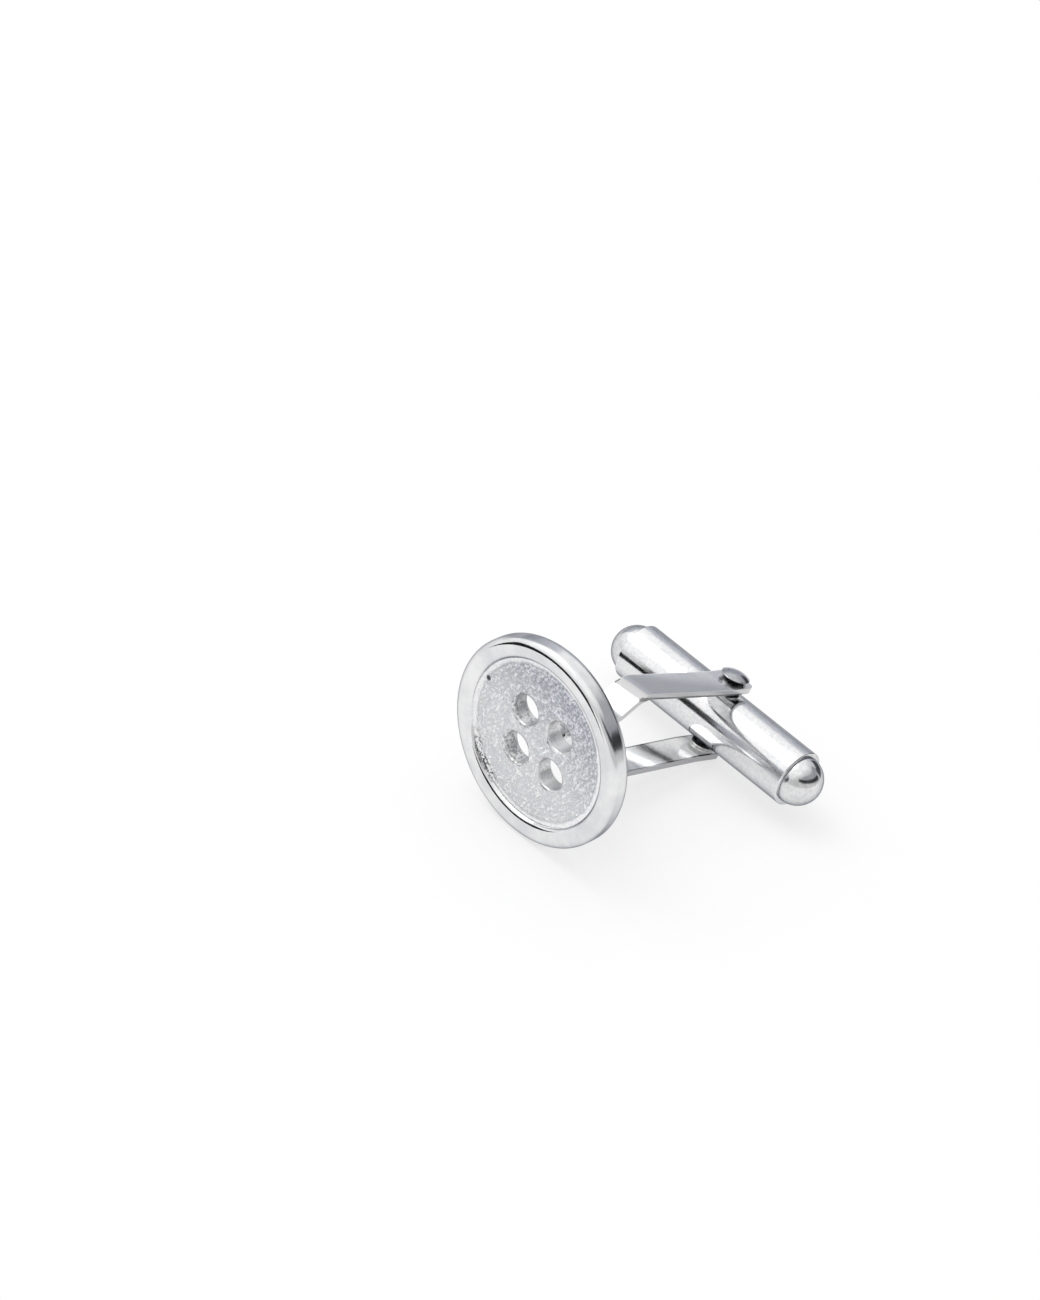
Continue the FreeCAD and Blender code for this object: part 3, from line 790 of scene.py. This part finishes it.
TOGGLE_POLISH = {"dullness": 0.1, "line_depth": 0.0006 * MM, "grazing": GRAZING_SHADE_TINT,
                 "corner_reach": 0.2 * MM, "corner_tarnish_and_shade": 0.25}
STRIP_POLISH = {"dullness": 0.07, "line_depth": 0.0008 * MM, "light": STRIP_SILVER,
                "shade": STRIP_SHADE, "corner_reach": 0.3 * MM}

button_silver = make_button_silver()
toggle_silver = make_polished_silver("polished_toggle_silver", **TOGGLE_POLISH)
# The ball ends get darker silver, painted shade
ball_silver = make_polished_silver("shaded_polished_ball_silver", light=BALL_SILVER, shade=BALL_SHADE,
                                   **TOGGLE_POLISH)
upper_strip_silver = make_polished_silver("upper_strip_silver", strip="upper", **STRIP_POLISH)
lower_strip_silver = make_polished_silver("lower_strip_silver", strip="lower", **STRIP_POLISH)
fitting_silver = make_polished_silver("turned_fitting_silver", dullness=0.12, line_depth=0.0012 * MM)
# The rivet gets dark silver, painted shade
rivet_silver = make_polished_silver("shaded_rivet_silver", dullness=0.1, line_depth=0.001 * MM,
                                    light=RIVET_SILVER, shade=RIVET_SHADE)
spring_steel = make_spring_steel()
washer_steel = make_washer_steel()


# Button
def make_button_face():
    """Round four-hole button: raised rounded rim, recessed flat floor, plain back."""
    outer_centre = BUTTON_RADIUS - RIM_OUTER_ROUND
    run = outer_centre - LIP_CENTRE
    rise = RIM_OUTER_ROUND - LIP_DEPTH
    slant = math.asin((RIM_OUTER_ROUND - RIM_INNER_ROUND) / math.hypot(run, rise)) - math.atan2(rise, run)
    facing = 270 - math.degrees(slant)
    lip = arc((LIP_CENTRE, LIP_DEPTH), RIM_INNER_ROUND, 270 - LIP_SLOPE, facing, steps=10)
    crest = arc((outer_centre, RIM_OUTER_ROUND), RIM_OUTER_ROUND, facing, 360, steps=24)
    outline = [(0, RECESS_DEPTH), (HOLE_FIELD, RECESS_DEPTH), (FLOOR_RADIUS - EASE, RECESS_DEPTH)]
    outline += arc((FLOOR_RADIUS, COVE_DEPTH), COVE_ROUND, 90, 90 - LIP_SLOPE, steps=14)
    outline += lip[1:]
    outline += [between_points(lip[-1], crest[0], share) for share in (0.08, 0.5, 0.92)]
    outline += crest
    side_end = BUTTON_THICKNESS - RIM_BACK_ROUND
    outline += [(BUTTON_RADIUS, RIM_OUTER_ROUND + EASE), (BUTTON_RADIUS, side_end - EASE)]
    outline += arc((BUTTON_RADIUS - RIM_BACK_ROUND, side_end), RIM_BACK_ROUND, 0, 90, steps=14)
    outline += [(BUTTON_RADIUS - RIM_BACK_ROUND - EASE, BUTTON_THICKNESS), (HOLE_FIELD, BUTTON_THICKNESS),
                (0, BUTTON_THICKNESS)]
    button = turned("button_face", [(r, d, 0) for r, d in outline], (0, 1, 0), FINE_STEPS)

    above = RECESS_DEPTH - MM
    below = BUTTON_THICKNESS + MM
    flare = arc((HOLE_RADIUS + HOLE_FRONT_ROUND, RECESS_DEPTH + HOLE_FRONT_ROUND - HOLE_OVERCUT),
                HOLE_FRONT_ROUND, 270, 180, steps=10)
    leave = arc((HOLE_RADIUS + HOLE_BACK_ROUND, BUTTON_THICKNESS - HOLE_BACK_ROUND + HOLE_OVERCUT),
                HOLE_BACK_ROUND, 180, 90, steps=6)
    hole = [(0, above), (HOLE_RADIUS + HOLE_FRONT_ROUND, above)] + flare + leave
    hole += [(HOLE_RADIUS + HOLE_BACK_ROUND, below), (0, below)]
    cutter = turned("hole_cutter", [(r, d, 0) for r, d in hole], (0, 1, 0), ROUND_STEPS)
    for side in (-1, 1):
        for level in (-1, 1):
            only(cutter)
            bpy.ops.object.duplicate()
            one = bpy.context.object
            set_in_place(one, Matrix.Translation((side * HOLE_OFFSET, 0, level * HOLE_OFFSET)))
            cut(button, one)
    bpy.data.objects.remove(cutter)
    hand_over(button, button_frame, "link", "button_face", button_silver)


# Foot
def make_foot_flange():
    """Round flange soldered to the button's back."""
    outline = [(0, -FLANGE_LIFT), (FLANGE_RADIUS, -FLANGE_LIFT)]
    outline += arc((FLANGE_RADIUS - FLANGE_EDGE, FLANGE_THICKNESS - FLANGE_EDGE),
                   FLANGE_EDGE, 0, 90, steps=6)
    outline += arc((NECK_RADIUS + FLANGE_FILLET - FLANGE_TUCK, FLANGE_THICKNESS + FLANGE_FILLET),
                   FLANGE_FILLET, 250, 200, steps=5)
    stub_end = FLANGE_THICKNESS + FLANGE_STUB
    outline += [(NECK_RADIUS * STUB_TAPER, stub_end), (0, stub_end)]
    flange = turned("foot_flange", [(r, d, 0) for r, d in outline], (0, 1, 0), ROUND_STEPS)
    hand_over(flange, flange_frame, "link", "foot", fitting_silver)


def make_foot_neck():
    """Leaning neck between the flange and the block."""
    outline = [(0, NECK_START), (NECK_RADIUS, NECK_START)]
    outline += arc((NECK_RADIUS + NECK_FILLET, BLOCK_START - NECK_FILLET), NECK_FILLET, 180, 110, steps=6)
    outline += [(NECK_RADIUS + NECK_FILLET * NECK_FLARE, NECK_END), (0, NECK_END)]
    neck = turned("foot_neck", [(r, s, 0) for r, s in outline], (0, 1, 0), ROUND_STEPS)
    hand_over(neck, post_frame, "link", "foot", fitting_silver)


def make_foot_block():
    """Block that carries the two arms, rounded where it meets the neck."""
    bpy.ops.object.select_all(action="DESELECT")
    bpy.ops.mesh.primitive_cube_add(size=1, location=(0, BLOCK_START + BLOCK_LENGTH / 2, 0))
    block = bpy.context.object
    block.name = "foot_block"
    block.data.name = "foot_block"
    block.scale = (BLOCK_WIDTH, BLOCK_LENGTH, BLOCK_HEIGHT)
    bpy.ops.object.transform_apply(location=True, rotation=True, scale=True)
    bpy.ops.object.mode_set(mode="EDIT")
    bpy.ops.mesh.select_mode(type="EDGE")
    bpy.ops.mesh.select_all(action="DESELECT")
    bpy.ops.object.mode_set(mode="OBJECT")
    for edge in block.data.edges:
        ends = [block.data.vertices[i].co for i in edge.vertices]
        edge.select = all(abs(end.y - BLOCK_START) < MERGE_GAP for end in ends)
    bpy.ops.object.mode_set(mode="EDIT")
    bpy.ops.mesh.bevel(offset=BLOCK_ROUND, segments=6, affect="EDGES")
    bpy.ops.mesh.select_mode(type="VERT")
    bpy.ops.object.mode_set(mode="OBJECT")
    break_edges(block, BLOCK_EDGE, segments=3, sharper_than=40)
    hand_over(block, post_frame, "link", "foot", fitting_silver)


# Arms
def draw_tip(arm, side):
    """Draws the strip on past its eye and rounds its end's corners, step by narrower step."""
    bpy.ops.mesh.select_all(action="DESELECT")
    bpy.ops.object.mode_set(mode="OBJECT")
    for point in arm.data.vertices:
        point.select = point.co.y > POST_LENGTH - MERGE_GAP
    bpy.ops.object.mode_set(mode="EDIT")
    extrude((0, TIP_REACH - TIP_ROUND, 0))
    reach = POST_LENGTH + TIP_REACH - TIP_ROUND
    steps = 8
    for i in range(steps):
        now = math.radians(90 * i / steps)
        then = math.radians(90 * (i + 1) / steps)
        run = TIP_ROUND * (math.sin(then) - math.sin(now))
        reach += run
        narrow = (HALF_ARM - TIP_ROUND * (1 - math.cos(then))) / (HALF_ARM - TIP_ROUND * (1 - math.cos(now)))
        extrude((0, run, 0))
        bpy.ops.transform.resize(value=(narrow, 1, 1), center_override=(0, reach, ARM_REACH * side))


def make_arm(name, side, finish):
    """Bent strip with an eye near its tip, drawn along its outer face and given its thickness inwards."""
    corners = [
        (ARM_ROOT, ARM_LAP),
        (BLOCK_START + BLOCK_LENGTH, ARM_LAP),
        (SHOULDER_PLACE, SHOULDER_REACH),
        (EYE_START, ARM_REACH),
        (POST_LENGTH, ARM_REACH),
    ]
    rounds = (BEND_ROUND, SHOULDER_ROUND + ARM_THICKNESS, EYE_BEND_ROUND)
    line = [corners[0]]
    for before, corner, after, radius in zip(corners, corners[1:], corners[2:], rounds):
        line += bend(before, corner, after, radius, steps=10)
    line.append(corners[-1])
    arm = start_piece(name)
    draw_line([(-HALF_ARM, s, v * side) for s, v in line])
    bpy.ops.mesh.select_all(action="SELECT")
    extrude((ARM_WIDTH, 0, 0))
    draw_tip(arm, side)

    bpy.ops.mesh.select_all(action="SELECT")
    bpy.ops.mesh.normals_make_consistent(inside=False)
    bpy.ops.object.mode_set(mode="OBJECT")
    if sum(face.normal.z for face in arm.data.polygons) * side < 0:
        bpy.ops.object.mode_set(mode="EDIT")
        bpy.ops.mesh.flip_normals()
        bpy.ops.object.mode_set(mode="OBJECT")
    apply_modifier(arm, "SOLIDIFY", thickness=ARM_THICKNESS, offset=-1, use_even_offset=True)
    drill(arm, EYE_RADIUS, 4 * MM, (0, POST_LENGTH, ARM_REACH * side))
    break_edges(arm, ARM_EDGE, segments=6, sharper_than=45)
    hand_over(arm, post_frame, "link", name, finish, SMOOTH_STRAIGHTS_TO)


# Rivet and washers
def dome(base, height, steps):
    """Points of a dome's side from its edge to its top, above zero."""
    ball = (base ** 2 + height ** 2) / (2 * height)
    start = math.degrees(math.asin((ball - height) / ball))
    return arc((0, height - ball), ball, start, 90, steps)


def make_rivet():
    """Rivet with a low domed head lifted on a small conical seat, and a hammered tail below."""
    tail = [(r, -ARM_REACH - h) for r, h in reversed(dome(TAIL_RADIUS, TAIL_HEIGHT, steps=14))]
    rim = ARM_REACH + HEAD_LIFT + HEAD_EDGE
    cap = dome(HEAD_RADIUS - HEAD_EDGE + HEAD_EDGE_TOP,
               HEAD_HEIGHT - HEAD_LIFT - HEAD_EDGE - HEAD_EDGE_TOP, steps=20)
    outline = tail + [(RIVET_RADIUS, -ARM_REACH), (RIVET_RADIUS, ARM_REACH), (HEAD_SEAT_RADIUS, ARM_REACH)]
    outline += arc((HEAD_RADIUS - HEAD_EDGE, rim), HEAD_EDGE, -60, 45, steps=6)
    outline += [(r, rim + HEAD_EDGE_TOP + h) for r, h in cap[1:]]
    rivet = turned("pivot_rivet", [(r, 0, v) for r, v in outline], (0, 0, 1), ROUND_STEPS)
    hand_over(rivet, pivot_frame, "link", "pivot_rivet", rivet_silver)


def make_washer(name, side):
    """Flat washer between an arm and the toggle, its edges broken."""
    outer = ARM_REACH - ARM_THICKNESS
    inner = outer - WASHER_THICKNESS
    outline = [(EYE_RADIUS, inner)]
    outline += arc((WASHER_RADIUS - WASHER_EDGE, inner + WASHER_EDGE), WASHER_EDGE, 270, 360, steps=4)
    outline += arc((WASHER_RADIUS - WASHER_EDGE, outer - WASHER_EDGE), WASHER_EDGE, 0, 90, steps=4)
    outline += [(EYE_RADIUS, outer), (EYE_RADIUS, inner)]
    washer = turned(name, [(r, 0, v * side) for r, v in outline], (0, 0, 1), ROUND_STEPS)
    hand_over(washer, pivot_frame, "link", name, washer_steel)


# Toggle
def make_toggle_tube():
    """Tube with rounded lips and the rivet's hole across its middle."""
    outline = [(-RIVET_HOLE_FIELD, TUBE_RADIUS), (-HALF_TUBE + TUBE_LIP + EASE, TUBE_RADIUS)]
    outline += arc((-HALF_TUBE + TUBE_LIP, TUBE_RADIUS - TUBE_LIP), TUBE_LIP, 90, 180, steps=8)
    outline += [(-HALF_TUBE, BORE_RADIUS), (-RIVET_HOLE_FIELD, BORE_RADIUS), (RIVET_HOLE_FIELD, BORE_RADIUS),
                (HALF_TUBE, BORE_RADIUS)]
    outline += arc((HALF_TUBE - TUBE_LIP, TUBE_RADIUS - TUBE_LIP), TUBE_LIP, 0, 90, steps=8)
    outline += [(HALF_TUBE - TUBE_LIP - EASE, TUBE_RADIUS), (RIVET_HOLE_FIELD, TUBE_RADIUS),
                (-RIVET_HOLE_FIELD, TUBE_RADIUS)]
    tube = turned("toggle_tube", [(x, r, 0) for x, r in outline], (1, 0, 0), FINE_STEPS)
    drill(tube, RIVET_RADIUS + RIVET_CLEARANCE, 6 * MM, (0, 0, 0))
    hand_over(tube, pivot_frame, "toggle", "toggle_tube", toggle_silver,
              SMOOTH_STRAIGHTS_TO)


def make_ball_end(name, side):
    """Half ball on a spigot, with a softened edge where it meets the tube's lip."""
    outline = [(HALF_TUBE - SPIGOT_LENGTH, 0), (HALF_TUBE - SPIGOT_LENGTH, SPIGOT_RADIUS),
               (HALF_TUBE, SPIGOT_RADIUS)]
    outline += arc((HALF_TUBE + BALL_EDGE, BALL_RADIUS - BALL_EDGE), BALL_EDGE, 180, 96, steps=5)
    outline += arc((HALF_TUBE, 0), BALL_RADIUS, 87, 0, steps=30)
    ball = turned(name, [(x * side, r, 0) for x, r in outline], (1, 0, 0), FINE_STEPS)
    hand_over(ball, pivot_frame, "toggle", name, ball_silver)


make_button_face()
make_foot_flange()
make_foot_neck()
make_foot_block()
make_arm("upper_arm", 1, upper_strip_silver)
make_arm("lower_arm", -1, lower_strip_silver)
make_rivet()
make_washer("upper_washer", 1)
make_washer("lower_washer", -1)
make_toggle_tube()
make_ball_end("right_ball_end", 1)
make_ball_end("left_ball_end", -1)

# Springs inside the tube keep their solid shape and get a steel finish
for spring in ("rear_leaf_spring", "front_leaf_spring"):
    slots = frame["nodes"][spring].data.materials
    slots.clear()
    slots.append(spring_steel)

# Floor, light and camera
FLOOR_SIZE = 40
FLOOR_WHITE = (0.9, 0.9, 0.9)
FLOOR_GLOW = 0.65
KEY_SIDE = Vector((-0.5, -0.2, 0.84)).normalized()
TENT_FALL = (0.25, 0.85)
TENT_STRENGTH = (0.68, 1.15)
SOFTBOX_PLACE = KEY_SIDE * 0.5
SOFTBOX_AIM = Vector((0, 0, 0.005))
SOFTBOX_SIZE = 0.3
SOFTBOX_POWER = 0.6
CARD_STEPS = 24
CARD_TINT = (0.97, 1.0, 1.08)

# Cards by name: first and last angle, distance, level of the foot at either end, height, shade
CARDS = {
    "dark_card_front": (-43, 2, 0.033, 0, 0, 0.0145, 0.02),
    "dark_card_left": (-85, -52, 0.0138, 0, 0, 0.0036, 0.02),
    "dark_card_rear": (156, 196, 1.0, 0, 0, 0.5, 0.1),
    "dark_card_right": (40, 147, 1.0, 0.495, 0.11, 0.3, 0.03),
    "gray_card_right": (55, 168, 1.5, 0.5, 0.5, 1.2, 0.42),
    "gray_card_rear": (-164, -100, 1.5, 0, 0, 0.36, 0.64),
    "pale_card_rear": (-178, -100, 1.6, 0.36, 0.36, 0.4, 0.72),
    "paler_card_rear": (-178, -100, 1.6, 0.76, 0.76, 0.45, 0.84),
}

CAMERA_AZIMUTH = math.radians(36.007)
CAMERA_ELEVATION = math.radians(34.163)
CAMERA_ROLL = math.radians(16.751)
CAMERA_DISTANCE = 465.71 * MM
CAMERA_AIM = Vector((-4.059, -9.674, 12.275)) * MM
CAMERA_LENS = 192.98
CAMERA_SENSOR = 36
CAMERA_NEAR = 0.01
CAMERA_FAR = 100


def matt_finish(name, colour, roughness):
    """Plain matt material."""
    material = bpy.data.materials.new(name)
    material.use_nodes = True
    shader = material.node_tree.nodes["Principled BSDF"]
    shader.inputs["Base Color"].default_value = (*colour, 1)
    shader.inputs["Roughness"].default_value = roughness
    shader.inputs["Specular IOR Level"].default_value = 0.0
    return material


def make_floor():
    """Plain white table. Seen directly or in the metal it keeps only part of the shadow."""
    bpy.ops.object.select_all(action="DESELECT")
    bpy.ops.mesh.primitive_plane_add(size=FLOOR_SIZE)
    floor = bpy.context.object
    floor.name = "floor"
    material = matt_finish("white_table", FLOOR_WHITE, 0.9)
    tree = material.node_tree
    glow = add(tree, "ShaderNodeEmission")
    path = add(tree, "ShaderNodeLightPath").outputs
    seen = larger(tree, path["Is Camera Ray"],
                  larger(tree, path["Is Glossy Ray"], path["Is Transmission Ray"]))
    mix = add(tree, "ShaderNodeMixShader")
    tree.links.new(product(tree, seen, FLOOR_GLOW), mix.inputs["Fac"])
    tree.links.new(tree.nodes["Principled BSDF"].outputs["BSDF"], mix.inputs[1])
    tree.links.new(glow.outputs["Emission"], mix.inputs[2])
    tree.links.new(mix.outputs["Shader"], tree.nodes["Material Output"].inputs["Surface"])
    floor.data.materials.append(material)


def make_studio():
    """White tent, brightest above the button's left."""
    world = bpy.data.worlds.new("studio")
    bpy.context.scene.world = world
    world.use_nodes = True
    tree = world.node_tree
    towards = measured_along(tree, add(tree, "ShaderNodeTexCoord").outputs["Generated"], KEY_SIDE)
    background = tree.nodes["Background"]
    background.inputs["Color"].default_value = (1, 1, 1, 1)
    tree.links.new(between(tree, towards, *TENT_FALL, *TENT_STRENGTH), background.inputs["Strength"])


def make_card(name, start, end, distance, low_start, low_end, height, shade):
    """Upright card bent round the table. The metal shows it, and the camera and the floor don't."""
    foot = []
    for i in range(CARD_STEPS + 1):
        angle = math.radians(start + (end - start) * i / CARD_STEPS)
        level = low_start + (low_end - low_start) * i / CARD_STEPS
        foot.append((distance * math.sin(angle), -distance * math.cos(angle), level))
    card = start_piece(name)
    draw_line(foot)
    bpy.ops.mesh.select_all(action="SELECT")
    extrude((0, 0, height))
    bpy.ops.object.mode_set(mode="OBJECT")
    card.data.materials.append(matt_finish(name, [shade * tint for tint in CARD_TINT], 1.0))
    card.visible_camera = False
    card.visible_diffuse = False
    card.visible_shadow = False


def make_softbox():
    """Square area lamp above the button's left, turned towards the cufflink."""
    lamp = bpy.data.lights.new("overhead_softbox", "AREA")
    lamp.size = SOFTBOX_SIZE
    lamp.energy = SOFTBOX_POWER
    box = bpy.data.objects.new("overhead_softbox", lamp)
    bpy.context.scene.collection.objects.link(box)
    box.location = SOFTBOX_PLACE
    box.rotation_euler = (SOFTBOX_AIM - SOFTBOX_PLACE).to_track_quat("-Z", "Y").to_euler()


def make_camera():
    """Camera at the photograph's place: raised, to the right of the button, and a little rolled."""
    level = math.cos(CAMERA_ELEVATION)
    back = Vector((math.sin(CAMERA_AZIMUTH) * level, -math.cos(CAMERA_AZIMUTH) * level,
                   math.sin(CAMERA_ELEVATION)))
    flat_right = Vector((math.cos(CAMERA_AZIMUTH), math.sin(CAMERA_AZIMUTH), 0))
    flat_up = back.cross(flat_right)
    right = flat_right * math.cos(CAMERA_ROLL) + flat_up * math.sin(CAMERA_ROLL)
    up = back.cross(right)
    camera = bpy.data.objects.new("camera", bpy.data.cameras.new("camera"))
    bpy.context.scene.collection.objects.link(camera)
    camera.data.sensor_width = CAMERA_SENSOR
    camera.data.lens = CAMERA_LENS
    camera.data.clip_start = CAMERA_NEAR
    camera.data.clip_end = CAMERA_FAR
    turn = Matrix((right, up, back)).transposed().to_4x4()
    camera.matrix_world = Matrix.Translation(CAMERA_AIM + back * CAMERA_DISTANCE) @ turn
    bpy.context.scene.camera = camera


make_floor()
make_studio()
for card_name, measures in CARDS.items():
    make_card(card_name, *measures)
make_softbox()
make_camera()
bpy.context.scene.view_settings.view_transform = "Standard"
